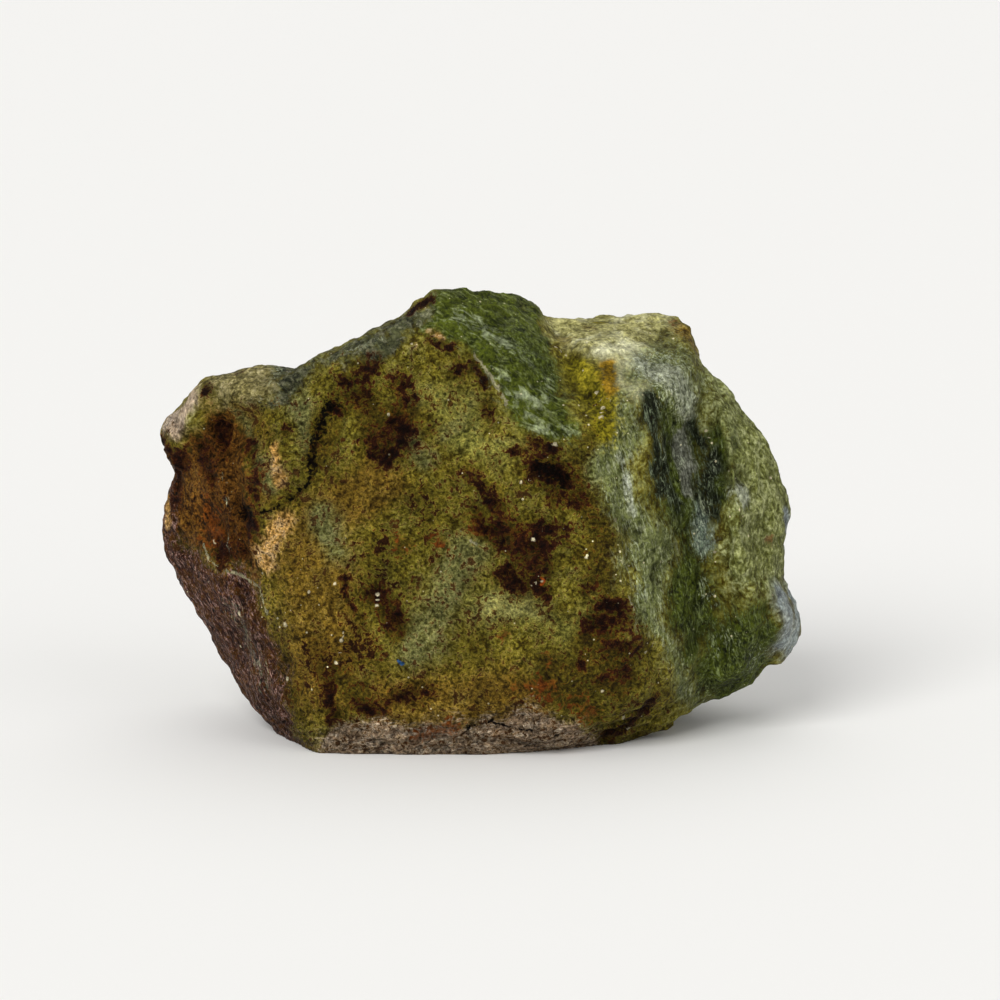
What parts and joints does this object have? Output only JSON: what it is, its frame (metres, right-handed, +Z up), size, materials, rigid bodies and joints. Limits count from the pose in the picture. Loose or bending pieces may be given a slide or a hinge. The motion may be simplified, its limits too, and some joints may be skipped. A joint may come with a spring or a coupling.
{
  "type": "rough fluorite",
  "caption": "Rough lump of cloudy green fluorite with a flat stained front, a fresh green break, a pale silky lobe and a grey tip, resting on a flat cleavage foot.",
  "frame": {"origin": "middle of the lump's bounding box, at the level of the flat foot it rests on", "axes": "+Z up, +X along the lump's longest side to the right of the stained front, +Y from the stained front to the back"},
  "size_m": [0.0644, 0.0368, 0.0451],
  "materials": {
    "stained_fluorite": "dull waxy break, olive and brown stain over cloudy green, pale silky right side"
  },
  "bodies": {
    "root": {"rough_fluorite": "stained_fluorite"}
  },
  "joints": []
}
